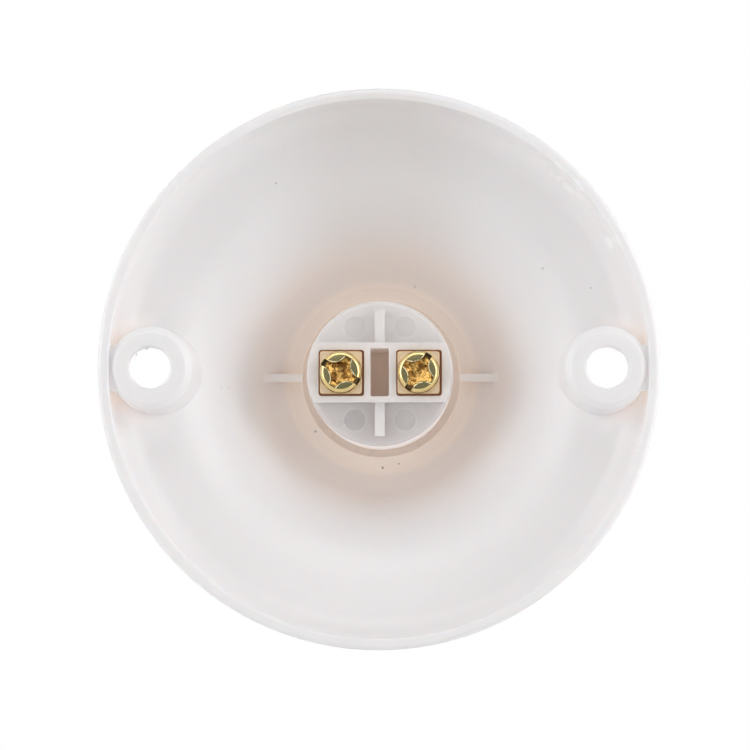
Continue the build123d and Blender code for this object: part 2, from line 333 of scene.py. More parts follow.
# %% Holes for the wall screws
flare_r = wall_screw_hole_r + wall_screw_hole_flare
recess_outline = [
    (0.0, wall_screw_seat, 0.0), (wall_screw_recess_r, wall_screw_seat, 0.4),
    (wall_screw_recess_r, wall_screw_cut_depth, 0.0), (0.0, wall_screw_cut_depth, 0.0),
]
hole_outline = [
    (0.0, -0.5, 0.0), (flare_r, -0.5, 0.0), (flare_r, 0.0, 0.0),
    (wall_screw_hole_r, wall_screw_hole_flare, 0.3), (wall_screw_hole_r, wall_screw_seat + 0.5, 0.0),
    (0.0, wall_screw_seat + 0.5, 0.0),
]
for side in (1, -1):
    recess = turned("recess", recess_outline, steps=72, centre_x=side * boss_x)
    hole = turned("hole", hole_outline, steps=72, centre_x=side * boss_x)
    combine(base, "DIFFERENCE", recess, hole)
finish_edges(base, 0.22)
keep(base, "holder", "base_plastic", "base_shell")

# %% [markdown]
# ## The insert
#
# The insert is a round block with a flange. A raised band runs across it, with
# a pocket for each terminal and a slot between them, and a thin rib crosses the
# band upright. Four shallow discs mark where the ejector pins pushed.

# %% Sizes of the insert
block_r, block_depth, block_edge_round = 12.1, 16.0, 0.8
flange_r, front_depth = 14.85, 34.0
band_height, band_depth = 9.8, 12.5
rib_thickness, rib_height, rib_depth = 1.6, 20.8, 14.2
slot_width, slot_height, slot_bottom_depth = 3.05, 7.9, 25.0
ejector_r, ejector_x, ejector_z, ejector_sink = 1.7, 4.15, 7.7, 0.15
terminal_x = 6.375
pocket_size, pocket_corner, pocket_floor_depth, pocket_shift = (7.5, 7.6), 0.5, 15.3, 0.1
well_r, well_start, well_end = 2.3, 14.0, 24.0
strip, strip_width = 0.7, 5.0
leg_offset = 2.95
rivet_circle_r, rivet_r, rivet_length, rivet_head_r, rivet_head_height = 9.2, 1.2, 4.0, 2.0, 0.6
rivet_angles = (60.0, 180.0, 300.0)
ear_r = 2.3


def on_circle(radius, angle):
    """A place on a circle round the lamp axis, as x and z."""
    return radius * math.cos(math.radians(angle)), radius * math.sin(math.radians(angle))


# %% Block, flange, band and rib
block_outline = [
    (0.0, block_depth, 0.0), (block_r, block_depth, block_edge_round), (block_r, seat_depth, 0.2),
    (flange_r, seat_depth, 0.2), (flange_r, front_depth, 0.2), (0.0, front_depth, 0.0),
]
insert = turned("socket_insert_moulding", block_outline, steps=144)
band = slab("band", (2 * block_r + 2, band_height), band_depth, block_depth + 1.2)
round_end = turned(
    "round end", [(0.0, band_depth - 1, 0.0), (block_r - 0.2, band_depth - 1, 0.0),
                  (block_r - 0.2, block_depth + 2, 0.0), (0.0, block_depth + 2, 0.0)], steps=144,
)
combine(band, "INTERSECT", round_end)
rib = slab("rib", (rib_thickness, rib_height), rib_depth, block_depth + 1.0)
combine(insert, "UNION", band, rib)
print("insert before its pockets", len(insert.data.polygons), "faces")

# %% [markdown]
# Each pocket holds a contact's tapped pad, with a well below it for the end of
# the screw and a slit through which the contact reaches the lamp side. All of
# them are straight cuts, as a mould would make them, so each is a plain slab
# or cylinder that is taken away.

# %% Pockets, wells, slot, ejector marks and slits
for side in (1, -1):
    pocket = slab(
        "pocket", pocket_size, band_depth - 1, pocket_floor_depth,
        corner=pocket_corner, centre=(side * terminal_x - pocket_shift, -pocket_shift),
    )
    well = turned(
        "well", [(0.0, well_start, 0.0), (well_r, well_start, 0.0),
                 (well_r, well_end, 0.3), (0.0, well_end, 0.0)],
        steps=48, centre_x=side * terminal_x,
    )
    slit = slab(
        "slit", (strip + 0.1, strip_width + 0.1), well_start, front_depth + 1,
        centre=(side * terminal_x + leg_offset, 0.0),
    )
    combine(insert, "DIFFERENCE", pocket, well, slit)
slot = slab("slot", (slot_width, slot_height), band_depth - 1, slot_bottom_depth, corner=0.25)
combine(insert, "DIFFERENCE", slot)
for x in (ejector_x, -ejector_x):
    for z in (ejector_z, -ejector_z):
        mark = turned(
            "mark", [(0.0, block_depth - 1, 0.0), (ejector_r, block_depth - 1, 0.0),
                     (ejector_r, block_depth + ejector_sink, 0.0), (0.0, block_depth + ejector_sink, 0.0)],
            steps=48, centre_x=x, centre_z=z,
        )
        combine(insert, "DIFFERENCE", mark)

# %% [markdown]
# The side contact ends in a tab that lies flush in the insert's lamp side,
# where a rivet presses the thread shell against it.

# %% Recess for the side contact's tab
tab_end_x = rivet_circle_r + ear_r
tab_start_x = terminal_x - leg_offset - strip / 2 - 0.05
tab_recess = slab(
    "tab recess", (tab_end_x - tab_start_x + 0.1, strip_width + 0.1), front_depth - strip, front_depth + 1,
    centre=(-(tab_end_x + tab_start_x) / 2, 0.0),
)
combine(insert, "DIFFERENCE", tab_recess)
finish_edges(insert, 0.16)
keep(insert, "holder", "insert_plastic", "socket_insert")

# %% [markdown]
# ## Terminal screws and clamps
#
# Each terminal has a square stamped washer under a pan-head screw. The head has
# a slot and a cross recess on the same axis, so that either driver fits. The
# washer and the screw are two pieces, because the washer only slides while the
# screw also turns.

# %% Sizes of the terminals
clamp_size, clamp_thickness, clamp_depth = (7.0, 7.1), 0.9, 13.0
clamp_corner, clamp_hole_r = 0.5, 1.9
screw_r, screw_length, screw_head_r, screw_head_height = 1.7, 9.0, 3.5, 2.2
screw_pitch, screw_thread_sink, screw_plain_start, screw_plain_end = 0.6, 0.28, 1.0, 0.5
screw_slot_width, screw_slot_sink = 1.2, 0.9
recess_sink, petal_r, petal_reach = 1.9, 2.2, 4.0
screw_angles = {"left": 29.5, "right": -58.7}
crown_depth = clamp_depth - screw_head_height


# %% Clamp washers
def make_clamp(side, centre_x):
    """A square washer with rounded corners and a hole for the screw."""
    clamp = slab(
        f"{side}_clamp_washer", clamp_size, clamp_depth, clamp_depth + clamp_thickness,
        corner=clamp_corner, centre=(centre_x, 0.0),
    )
    near, far = clamp_depth - 1, clamp_depth + 2
    hole = turned(
        "hole", [(0.0, near, 0.0), (clamp_hole_r, near, 0.0), (clamp_hole_r, far, 0.0), (0.0, far, 0.0)],
        steps=48, centre_x=centre_x,
    )
    combine(clamp, "DIFFERENCE", hole)
    finish_edges(clamp, 0.15, segments=3)
    return keep(clamp, f"{side}_clamp", "clamp_brass", f"{side}_clamp")


clamps = {side: make_clamp(side, x) for side, x in (("left", terminal_x), ("right", -terminal_x))}


# %% [markdown]
# A screw's head has a flat top with a rounded rim. Its recess is a shallow
# cone with four round petals left standing in it, so the wings between the
# petals widen towards the rim. The petals' tops stay flat, and mirror the
# dark side of the room, while the rim mirrors the white bell.

# %% Screws
recess_outline = [
    (0.0, crown_depth - 1.0, 0.0), (2.85, crown_depth - 1.0, 0.0), (2.6, crown_depth + 0.75, 0.3),
    (1.5, crown_depth + 1.3, 0.3), (0.0, crown_depth + recess_sink, 0.0),
]
petal_outline = [
    (0.0, crown_depth - 2.0, 0.0), (petal_r, crown_depth - 2.0, 0.0),
    (petal_r + 0.3, crown_depth + 3.0, 0.0), (0.0, crown_depth + 3.0, 0.0),
]


def make_recess(angle):
    """The cutter of a cross recess: a shallow cone without its four petals."""
    recess = turned("recess", recess_outline, steps=64)
    for wing in range(4):
        x, z = on_circle(petal_reach, angle + 45 + 90 * wing)
        combine(recess, "DIFFERENCE", turned("petal", petal_outline, steps=64, centre_x=x, centre_z=z))
    return recess


def make_screw(side, centre_x, angle):
    """A pan-head screw, turned in one piece, then slotted."""
    tip = clamp_depth + screw_length
    outline = [
        (0.0, crown_depth, 0.0), (2.95, crown_depth + 0.02, 0.35), (3.3, crown_depth + 0.4, 0.6),
        (screw_head_r, crown_depth + 1.2, 0.6), (screw_head_r, clamp_depth, 0.2), (screw_r, clamp_depth, 0.0),
    ]
    thread_start = clamp_depth + screw_plain_start
    turns = round((screw_length - screw_plain_start - screw_plain_end) / screw_pitch)
    for turn in range(turns):
        start = thread_start + turn * screw_pitch
        outline += [(screw_r, start, 0.0), (screw_r - screw_thread_sink, start + screw_pitch / 2, 0.06)]
    outline += [
        (screw_r, thread_start + turns * screw_pitch, 0.0), (screw_r - 0.4, tip, 0.1), (0.0, tip, 0.0),
    ]
    screw = turned(f"{side}_terminal_screw", outline, steps=96)
    slot = slab(
        "slot", (3 * screw_head_r, screw_slot_width), crown_depth - 1, crown_depth + screw_slot_sink,
        angle=angle,
    )
    combine(screw, "DIFFERENCE", make_recess(angle), slot)
    screw.data.transform(Matrix.Translation((centre_x * mm, 0, 0)))
    finish_edges(screw, 0.12, segments=3)
    return keep(screw, f"{side}_screw", "screw_brass", f"{side}_screw")


screws = {
    side: make_screw(side, x, screw_angles[side])
    for side, x in (("left", terminal_x), ("right", -terminal_x))
}

# %% [markdown]
# ## Thread shell, contacts and rivets
#
# The thread shell is thin brass sheet, rolled so that its section is a wave
# that climbs like a screw. One wavy line is spun round the axis while it also
# moves along it, and the sheet gets its thickness afterwards. The last turn
# meets the first one pitch further on, so the doubles close the seam.

# %% Rolled thread
thread_pitch, thread_major_r, thread_minor_r = 3.629, 13.23, 12.13
shell_sheet, shell_lip_r = 0.4, 11.8
shell_near, shell_far = front_depth + 0.2, -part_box("thread_shell")[0].y / mm
thread_steps, wave_steps = 120, 18


def make_rolled_tube():
    """The rolled tube, cut square at both ends and given its thickness."""
    bm = bmesh.new()
    mean_r, throw = (thread_major_r + thread_minor_r) / 2, (thread_major_r - thread_minor_r) / 2
    spacing = thread_pitch / wave_steps
    count = math.ceil((shell_far - shell_near) / spacing) + 2 * wave_steps
    verts = []
    for step in range(count + 1):
        depth = shell_near - thread_pitch + step * spacing
        radius = mean_r + throw * math.cos(math.tau * step / wave_steps)
        verts.append(bm.verts.new((radius * mm, -depth * mm, 0)))
    for a, b in zip(verts, verts[1:]):
        bm.edges.new((a, b))
    bmesh.ops.spin(
        bm, geom=bm.verts[:] + bm.edges[:], cent=(0, 0, 0), axis=(0, 1, 0),
        dvec=(0, thread_pitch / thread_steps * mm, 0), angle=math.tau, steps=thread_steps,
        use_merge=False, use_duplicate=False,
    )
    bmesh.ops.remove_doubles(bm, verts=bm.verts, dist=2e-6)
    for depth, side in ((shell_near, 1), (shell_far, -1)):
        bmesh.ops.bisect_plane(
            bm, geom=bm.verts[:] + bm.edges[:] + bm.faces[:], dist=1e-8,
            plane_co=(0, -depth * mm, 0), plane_no=(0, side, 0), clear_outer=True,
        )
    bmesh.ops.recalc_face_normals(bm, faces=bm.faces)
    inwards = sum(face.normal.dot(Vector((face.calc_center_median().x, 0, face.calc_center_median().z)))
                  for face in bm.faces) < 0
    if inwards:
        bmesh.ops.reverse_faces(bm, faces=bm.faces)
    bmesh.ops.solidify(bm, geom=bm.faces[:], thickness=shell_sheet * mm)
    return new_piece("thread_shell_rolled", bm)


def open_edges(piece):
    """How many edges of a piece don't have exactly two faces."""
    bm = bmesh.new()
    bm.from_mesh(piece.data)
    count = sum(len(edge.link_faces) != 2 for edge in bm.edges)
    bm.free()
    return count


thread_shell = make_rolled_tube()
print("rolled tube", len(thread_shell.data.polygons), "faces,", open_edges(thread_shell), "open edges")

# %% [markdown]
# The shell's foot is turned in against the insert, and three ears on it take
# the rivets. Foot, ears and their necks have one thickness, so they are made
# flat and joined to the rolled tube.

# %% Foot and ears of the thread shell
foot = turned(
    "foot", [(shell_lip_r, front_depth, 0.0), (shell_lip_r, front_depth + shell_sheet, 0.0),
             (thread_major_r + shell_sheet - 0.1, front_depth + shell_sheet, 0.15),
             (thread_major_r + shell_sheet - 0.1, front_depth, 0.15)], steps=120, closed=True,
)
for angle in rivet_angles:
    x, z = on_circle(rivet_circle_r, angle)
    ear = turned(
        "ear", [(0.0, front_depth, 0.0), (ear_r, front_depth, 0.0),
                (ear_r, front_depth + shell_sheet, 0.0), (0.0, front_depth + shell_sheet, 0.0)],
        steps=48, centre_x=x, centre_z=z,
    )
    neck_reach = thread_minor_r - rivet_circle_r
    x, z = on_circle(rivet_circle_r + neck_reach / 2, angle)
    neck = slab(
        "ear neck", (neck_reach, 2 * ear_r), front_depth, front_depth + shell_sheet,
        centre=(x, z), angle=angle,
    )
    combine(foot, "UNION", neck, ear)
combine(thread_shell, "UNION", foot)
shade_by_angle(thread_shell)
keep(thread_shell, "holder", "thread_brass", "thread_shell")

# %% [markdown]
# The two contacts are bent from the same brass strip. A line along the middle
# of the strip is rounded at its bends, drawn out to the strip's width, and
# thickened to both sides. The wide pad at its wall end takes the screw.

# %% Contact strips
pad_depth = pocket_floor_depth - strip
pad_size = (7.0, 7.1)


def make_contact(name, route, pad_x, *holes):
    """A strip bent along a route of (x, depth, bend radius), with a tapped pad."""
    bm = bmesh.new()
    rounded_chain(bm, route, closed=False)
    grown = bmesh.ops.extrude_edge_only(bm, edges=bm.edges[:])
    edge_verts = [v for v in grown["geom"] if isinstance(v, bmesh.types.BMVert)]
    bmesh.ops.translate(bm, verts=edge_verts, vec=(0, 0, strip_width * mm))
    bmesh.ops.translate(bm, verts=bm.verts, vec=(0, 0, -strip_width / 2 * mm))
    contact = new_piece(name, bm)
    sheet = contact.modifiers.new("sheet thickness", "SOLIDIFY")
    sheet.thickness = strip * mm
    sheet.offset = 0.0
    sheet.use_even_offset = True
    pad = slab("pad", pad_size, pad_depth, pocket_floor_depth, corner=0.3, centre=(pad_x, 0.0))
    combine(contact, "UNION", pad)
    for x, radius, near, far in holes:
        drill = turned("drill", [(0.0, near, 0.0), (radius, near, 0.0), (radius, far, 0.0), (0.0, far, 0.0)],
                       steps=48, centre_x=x)
        combine(contact, "DIFFERENCE", drill)
    finish_edges(contact, 0.06)
    return contact


left_leg_x, right_leg_x = terminal_x + leg_offset, -terminal_x + leg_offset
front_mid, tab_mid = front_depth + strip / 2, front_depth - strip / 2
leaf_route = [
    (terminal_x - 3.0, pad_depth + strip / 2, 0.0), (left_leg_x, pad_depth + strip / 2, 0.55),
    (left_leg_x, front_mid, 0.55), (5.2, front_mid, 2.8), (-0.6, front_mid + 2.6, 0.9),
    (-2.4, front_mid + 1.8, 0.0),
]
tab_route = [
    (-terminal_x - 3.0, pad_depth + strip / 2, 0.0), (right_leg_x, pad_depth + strip / 2, 0.55),
    (right_leg_x, tab_mid, 0.55), (-tab_end_x, tab_mid, 0.0),
]
centre_contact = make_contact(
    "centre_contact_strip", leaf_route, terminal_x, (terminal_x, screw_r + 0.05, 14.0, 15.6),
)
keep(centre_contact, "holder", "contact_brass", "centre_contact")
side_contact = make_contact(
    "side_contact_strip", tab_route, -terminal_x, (-terminal_x, screw_r + 0.05, 14.0, 15.6),
    (-rivet_circle_r, rivet_r + 0.05, tab_mid - 1, tab_mid + 1),
)
keep(side_contact, "holder", "contact_brass", "side_contact")

# %% [markdown]
# The three rivets are driven through the ears into the insert. Each has a low
# dome, which one turned outline gives together with its shank.


# %% Rivets
def make_rivet(number, angle):
    """A drive rivet with a low dome, through an ear of the thread shell."""
    x, z = on_circle(rivet_circle_r, angle)
    top = front_depth + shell_sheet
    rivet = turned(
        f"shell_rivet_{number}_turned",
        [(0.0, top + rivet_head_height, 0.0), (1.3, top + rivet_head_height - 0.05, 1.6),
         (rivet_head_r, top + 0.12, 0.12), (rivet_head_r, top, 0.05), (rivet_r, top, 0.0),
         (rivet_r, top - rivet_length, 0.15), (0.0, top - rivet_length, 0.0)],
        steps=48, centre_x=x, centre_z=z,
    )
    shade_by_angle(rivet)
    return keep(rivet, "holder", "rivet_brass", f"shell_rivet_{number}")


rivets = [make_rivet(number, angle) for number, angle in enumerate(rivet_angles, start=1)]

# %% [markdown]
# ## Shader maths
#
# A finish is mostly arithmetic on masks. A small class stands for one output
# of a node and overloads the arithmetic signs, so that a mask can be written
# as an expression, and one method adds every other kind of node. Lengths on
# the object are given in millimetres to the methods that make masks.

# %% A signal and the nodes of a tree
class Signal:
    """An output of a node, used in arithmetic like a number."""

    def __init__(self, owner, socket):
        self.owner, self.socket = owner, socket

    def maths(self, operation, *values):
        return self.owner.node("ShaderNodeMath", {"operation": operation}, dict(enumerate(values)))

    def __add__(self, other):
        return self.maths("ADD", self, other)

    def __sub__(self, other):
        return self.maths("SUBTRACT", self, other)

    def __rsub__(self, other):
        return self.maths("SUBTRACT", other, self)

    def __mul__(self, other):
        return self.maths("MULTIPLY", self, other)

    __radd__ = __add__
    __rmul__ = __mul__

    def largest(self, other):
        """The larger one of two values."""
        return self.maths("MAXIMUM", self, other)

    def magnitude(self):
        """The value without its sign."""
        return self.maths("ABSOLUTE", self)

    def hypotenuse(self, other):
        """The length of a step of this much one way and that much across."""
        return self.maths("SQRT", self * self + other * other)


class NodeTree:
    """A node tree that is being made, with one method for all its nodes."""

    def __init__(self, tree):
        self.tree = tree

    def feed(self, socket, value):
        """Gives a socket a link or a plain value."""
        if isinstance(value, Signal):
            self.tree.links.new(value.socket, socket)
        else:
            socket.default_value = value

    def node(self, kind, settings=None, sockets=None, output=0):
        """Adds a node: its settings first, then the values or links of its sockets."""
        made = self.tree.nodes.new(kind)
        for name, value in (settings or {}).items():
            setattr(made, name, value)
        for name, value in (sockets or {}).items():
            self.feed(made.inputs[name], value)
        return Signal(self, made.outputs[output])

    def step(self, value, low, high, to_low=0.0, to_high=1.0):
        """A soft step from one number to another while a value goes from low to high."""
        return self.node(
            "ShaderNodeMapRange", {"interpolation_type": "SMOOTHSTEP"},
            {"Value": value, "From Min": low, "From Max": high, "To Min": to_low, "To Max": to_high},
        )


# %% A finish
class Finish(NodeTree):
    """A material that is being made for pieces measured in their own coordinates."""

    def __init__(self, name):
        self.material = bpy.data.materials.new(name)
        self.material.use_nodes = True
        super().__init__(self.material.node_tree)
        self.shader = self.tree.nodes["Principled BSDF"]
        self.place = self.node("ShaderNodeTexCoord", output="Object")
        apart = self.tree.nodes.new("ShaderNodeSeparateXYZ")
        self.feed(apart.inputs[0], self.place)
        self.x, self.y, self.z = (Signal(self, socket) for socket in apart.outputs)
        self.depth = self.y * -1.0

    def noise(self, scale, detail=2.0, stretch=(1, 1, 1)):
        """Cloudy noise, whose features are about 1 / scale metres wide."""
        place = self.place
        if stretch != (1, 1, 1):
            place = self.node("ShaderNodeMapping", None, {"Vector": place, "Scale": stretch})
        return self.node("ShaderNodeTexNoise", None, {"Vector": place, "Scale": scale, "Detail": detail})

    def rise(self, length, low, high):
        """A mask that goes from 0 to 1 between two lengths in millimetres."""
        return self.step(length, low * mm, high * mm)

    def fall(self, length, low, high):
        """A mask that goes from 1 to 0 between two lengths in millimetres."""
        return self.step(length, low * mm, high * mm, 1.0, 0.0)

    def mix(self, mask, first, second):
        """One colour where the mask is 0 and another where it is 1."""
        colours = {0: mask, 6: self.opaque(first), 7: self.opaque(second)}
        return self.node("ShaderNodeMix", {"data_type": "RGBA"}, colours, output=2)

    def opaque(self, colour):
        """A plain colour with its alpha, or a link as it is."""
        return colour if isinstance(colour, Signal) else (*colour, 1.0)

    def radius(self, centre_x=0.0, centre_z=0.0):
        """Distance from an axis along Y through a point given in millimetres."""
        return (self.x - centre_x * mm).hypotenuse(self.z - centre_z * mm)

    def bump(self, height, distance):
        """A small relief, with its distance in millimetres."""
        relief = {"Height": height, "Distance": distance * mm, "Strength": 1.0}
        return self.node("ShaderNodeBump", None, relief)

    def surface(self, **sockets):
        """Sets the shader's sockets, written with _ for a space."""
        for name, value in sockets.items():
            self.feed(self.shader.inputs[name.replace("_", " ")], value)


def wear(finish, *pieces):
    """Gives pieces their finish."""
    for piece in pieces:
        piece.data.materials.clear()
        piece.data.materials.append(finish.material)
    names = ", ".join(piece.name for piece in pieces)
    print(finish.material.name, "has", len(finish.tree.nodes), "nodes and is on", names)


black = (0.0, 0.0, 0.0)

# %% [markdown]
# ## White polypropylene
#
# The base's tint, specks and scuffs belong to its inside only. So a first mask
# tells the inside from the outside by the middle of the wall, which is a chain
# of straight slopes with a round where the skirt starts.

# %% Inside of the bell
plastic = Finish("white_polypropylene")
depth = plastic.depth
from_axis = plastic.radius()


def within_slope(corner_r, corner_depth, steepness):
    """Whether a spot lies on the room's side of a sloping stretch of the wall's middle."""
    limit = corner_depth + corner_r * steepness
    return plastic.fall(depth + from_axis * steepness, limit - soft_edge, limit + soft_edge)


middle, soft_edge = wall * 0.65, 0.3
upper_slope = (crease_depth - skirt_depth) / (rim_r - wall - crease_r)
lower_slope = (throat_depth - crease_depth) / (crease_r - throat_r)
throat_slope = (ledge_depth - throat_depth) / (throat_r - ledge_r)
bend_r, bend_depth = rim_r - wall - skirt_round, 4.4
below_bend = (depth - bend_depth * mm).largest(0.0)
beyond_bend = (from_axis - bend_r * mm).largest(0.0)
in_skirt = plastic.fall(beyond_bend.hypotenuse(below_bend), 5.7, 6.1)
in_skirt = in_skirt.largest(plastic.fall(from_axis, 38.8, 39.6))
in_throat = within_slope(crease_r + middle, crease_depth + middle, lower_slope)
in_throat = in_throat * within_slope(throat_r, throat_depth + middle, throat_slope)
in_crease = within_slope(crease_r, crease_depth + middle, upper_slope)
inside_bell = in_throat.largest(in_crease) * in_skirt
print("slopes of the wall", [round(slope, 3) for slope in (upper_slope, lower_slope, throat_slope)])

# %% [markdown]
# The base is white but a little warm. It lets some light in, and its deep
# neck has a painted warm beige shade, and the inside has painted shade near the
# top. It has handling marks: a few dark specks. Pale patches inside the skirt
# are partly scuffs and partly painted glints. Each speck is a small disc seen
# along the lamp axis, and noise makes its edge uneven.

# %% Tint, painted shade, specks, scuffs and painted glints of the base
specks = [
    # x, z and radius in millimetres, darkness
    (-0.3, -15.2, 0.22, 0.75), (-3.0, -14.5, 0.16, 0.7), (11.2, -9.0, 0.2, 0.6), (9.0, -5.3, 0.14, 0.45),
    (-5.8, 15.6, 0.2, 0.3), (-26.8, 17.0, 0.18, 0.35), (-34.5, 13.6, 0.18, 0.35), (17.0, 31.0, 0.16, 0.3),
    (26.3, -2.2, 0.13, 0.15), (25.2, -2.2, 0.13, 0.15),
]
clean_white, warm_white = (0.87, 0.857, 0.866), (0.845, 0.83, 0.838)
top_shade_white, neck_shade_beige = (0.79, 0.765, 0.755), (0.83, 0.735, 0.665)
dirt_brown, scuff_and_glint_white = (0.16, 0.13, 0.11), (0.96, 0.96, 0.955)

cloud = plastic.noise(28.0, detail=3.0)
near_top = plastic.rise(plastic.z, 10, 24) * inside_bell * plastic.fall(plastic.x.magnitude(), 4, 22)
in_neck = plastic.rise(depth, 16, 31) * inside_bell
colour = plastic.mix(cloud, clean_white, warm_white)
# painted shade: the inside is darker near the top
colour = plastic.mix(near_top * 0.9, colour, top_shade_white)
# painted warm shade: the deep neck is tinted beige
colour = plastic.mix(in_neck * 0.75, colour, neck_shade_beige)

rough_edge = plastic.noise(2600.0, detail=1.0)
dirt = 0.0
for x, z, radius, darkness in specks:
    spot = plastic.radius(x, z) + (rough_edge - 0.5) * (0.35 * mm)
    dirt = (plastic.fall(spot, radius * 0.6, radius * 1.3) * darkness).largest(dirt)
colour = plastic.mix(dirt * inside_bell, colour, dirt_brown)

# pale patches near the rim at the upper right: partly scuffs, partly painted glints
at_upper_right = plastic.rise(plastic.z, 14, 22) * plastic.fall(plastic.x, -34, -20)
near_rim = plastic.rise(from_axis, 41.6, 42.8) * plastic.fall(from_axis, 43.5, 43.9)
scuff_and_glint_patches = plastic.step(plastic.noise(420.0, detail=4.0), 0.50, 0.62)
scuffs_and_glints = scuff_and_glint_patches * near_rim * at_upper_right * inside_bell
colour = plastic.mix(scuffs_and_glints * 0.7, colour, scuff_and_glint_white)
print(len(specks), "specks")

# %% [markdown]
# Where the wall is thin, light from outside seeps through. A painted glow
# stands in for it on the collar, on the two gussets' edges and on the skirt
# beside the bosses.

# %% Painted glow for the light that seeps through the base
# painted glow colours for the collar, the gussets' edges and the skirt beside the bosses
collar_glow, gusset_glow, skirt_glow = (0.10, 0.068, 0.042), (0.055, 0.055, 0.057), (0.15, 0.115, 0.09)

in_collar = plastic.rise(depth, 28.6, 29.6) * plastic.fall(depth, 32.5, 33.5)
in_collar = in_collar * plastic.fall(from_axis, 15.0, 17.5) * inside_bell
seeping = plastic.mix(in_collar, black, collar_glow)

in_gusset = plastic.fall(plastic.z.magnitude(), 0.7, 0.8) * plastic.fall(from_axis, 20.2, 20.8)
in_gusset = in_gusset * plastic.rise(depth, 27.0, 27.3) * plastic.fall(depth, 28.2, 28.8)
seeping = plastic.mix(in_gusset, seeping, gusset_glow)

from_boss = (plastic.x.magnitude() - boss_x * mm).hypotenuse(plastic.z)
from_bend = (from_axis - bend_r * mm).hypotenuse(depth - bend_depth * mm)
beside_boss = plastic.rise(from_boss, 6.3, 6.6) * plastic.fall(from_boss, 7.2, 10.5)
beside_boss = beside_boss * plastic.fall(from_bend, 5.6, 6.0)
beside_boss = beside_boss * plastic.rise(from_axis, 35.5, 42.5) * plastic.rise(depth, 0.9, 2.0)
seeping = plastic.mix(beside_boss, seeping, skirt_glow)
print("the base's colour and glow take", len(plastic.tree.nodes), "nodes")

# %% [markdown]
# The surface is satin: a fine grain from the mould, with slow waves that vary
# the gloss. A part of the light goes in and comes out again nearby, which
# softens the shade in the bell.

# %% Surface of the base
grain = plastic.noise(1500.0)
waves = plastic.noise(160.0)
plastic.surface(
    Base_Color=colour, Roughness=0.36 + (waves - 0.5) * 0.16 + (cloud - 0.5) * 0.1,
    IOR=1.49, Specular_IOR_Level=0.45,
    Subsurface_Weight=0.35, Subsurface_Radius=(1.0, 0.8, 0.65), Subsurface_Scale=2.2 * mm,
    Emission_Color=seeping, Emission_Strength=1.0,
    Normal=plastic.bump(grain * 0.4 + waves, 0.02),
)
wear(plastic, base)

# %% [markdown]
# ## The milky insert
#
# The insert is unpigmented plastic, cooler and more translucent than the base.
# The ejector marks are a little darker, each with a thin pale ring. The lower
# half of the face has painted shade, and the pockets have a painted brown shade
# and reflection of the brass in them.

# %% Colour of the insert
milk = Finish("milky_insert")
depth = milk.depth
across, upright = milk.x.magnitude(), milk.z.magnitude()
clear_milk, cloudy_milk = (0.84, 0.812, 0.802), (0.80, 0.765, 0.748)
shaded_milk, mark_grey, ring_white = (0.66, 0.615, 0.61), (0.55, 0.52, 0.515), (0.93, 0.91, 0.91)
band_milk, pocket_shade_brown = (0.84, 0.78, 0.758), (0.62, 0.40, 0.25)

on_face = milk.rise(depth, block_depth - 0.7, block_depth - 0.1)
lower_half = milk.fall(milk.z, -9.0, 6.0)
colour = milk.mix(milk.noise(90.0, detail=3.0), clear_milk, cloudy_milk)
colour = milk.mix(on_face * lower_half * 0.7, colour, shaded_milk)

from_mark = (across - ejector_x * mm).hypotenuse(upright - ejector_z * mm)
disc = milk.fall(from_mark, ejector_r - 0.06, ejector_r + 0.06)
ring = milk.rise(from_mark, ejector_r + 0.05, ejector_r + 0.2)
ring = ring * milk.fall(from_mark, ejector_r + 0.25, ejector_r + 0.45)
disc_strength = milk.step(milk.x - milk.z, 6.0 * mm, 11.0 * mm, 0.12, 0.45)
colour = milk.mix(disc * on_face * disc_strength, colour, mark_grey)
colour = milk.mix(ring * on_face * 0.2, colour, ring_white)

on_band = milk.fall(depth, band_depth + 0.4, band_depth + 0.8) * milk.fall(upright, 4.6, 4.9)
colour = milk.mix(on_band, colour, band_milk)
in_pocket = milk.fall((across - terminal_x * mm).magnitude(), 3.8, 3.95) * milk.fall(upright, 3.85, 4.0)
in_pocket = in_pocket * milk.rise(depth, 12.9, 13.4) * milk.fall(depth, 16.8, 17.5)
# painted brown shade and reflection of the brass in the pockets
colour = milk.mix(in_pocket, colour, pocket_shade_brown)
print("the insert's colour takes", len(milk.tree.nodes), "nodes")

# %% [markdown]
# Light seeps through the milky walls into the deep slot, into the pockets and
# round the block, and a painted faint warm glow stands in for it.

# %% Surface of the insert
# painted glow colours for the slot, the pockets and the block's side
slot_glow, pocket_glow = (0.086, 0.059, 0.043), (0.05, 0.026, 0.013)
side_glow, side_foot_glow = (0.28, 0.268, 0.268), (0.19, 0.145, 0.11)

in_slot = milk.fall(across, 1.52, 1.62) * milk.fall(upright, 3.9, 4.05)
in_slot = in_slot * milk.rise(depth, 13.2, 13.6) * milk.fall(depth, 25.4, 26.0)
on_side = milk.rise(milk.radius(), block_r - 0.15, block_r - 0.05)
on_side = on_side * milk.rise(depth, 16.2, 16.9) * milk.fall(depth, 32.8, 33.2)
glow = milk.mix(in_slot, black, slot_glow)
glow = milk.mix(in_pocket, glow, pocket_glow)
glow = milk.mix(on_side, glow, milk.mix(milk.rise(depth, 28.0, 31.0), side_glow, side_foot_glow))
milk.surface(
    Base_Color=colour, Roughness=0.3 + (milk.noise(300.0) - 0.5) * 0.15, IOR=1.5,
    Subsurface_Weight=0.6, Subsurface_Radius=(1.0, 0.9, 0.8), Subsurface_Scale=3.0 * mm,
    Emission_Color=glow, Emission_Strength=1.0, Normal=milk.bump(milk.noise(700.0), 0.015),
)
wear(milk, insert)

# %% [markdown]
# ## Brass
#
# The clamps are pale stamped brass. The contacts and the thread shell are
# rolled sheet, with a grain along the sheet, and the rivets are turned.

